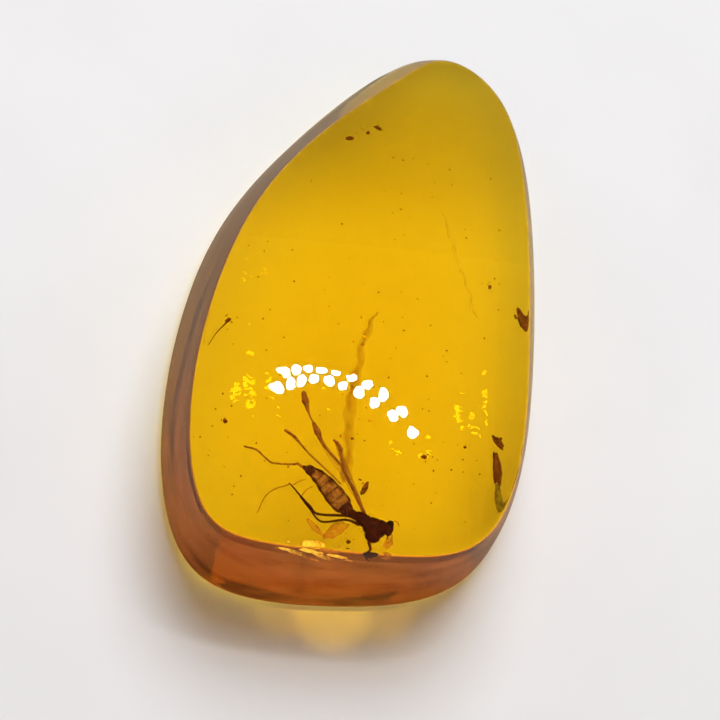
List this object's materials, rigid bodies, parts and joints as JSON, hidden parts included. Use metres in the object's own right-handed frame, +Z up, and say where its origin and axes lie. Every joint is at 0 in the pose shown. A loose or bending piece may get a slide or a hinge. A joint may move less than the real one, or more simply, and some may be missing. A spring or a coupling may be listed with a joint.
{
  "type": "insect in amber",
  "caption": "Polished drop-shaped piece of clear amber with a flat base and low crown, with a small winged insect sealed near its broad end.",
  "frame": {"origin": "under the middle of the outline, on the plane that the flat base rests on", "axes": "+Z up from the flat base to the crown, +Y along the stone towards its narrow end, +X to the right of that"},
  "size_m": [0.012, 0.0184, 0.005],
  "materials": {
    "amber": "polished",
    "insect_dark": "satin",
    "insect_brown": "satin",
    "wing": "satin",
    "debris": "matte",
    "flaw": "polished"
  },
  "bodies": {
    "root": {"amber": "amber"}
  },
  "joints": []
}
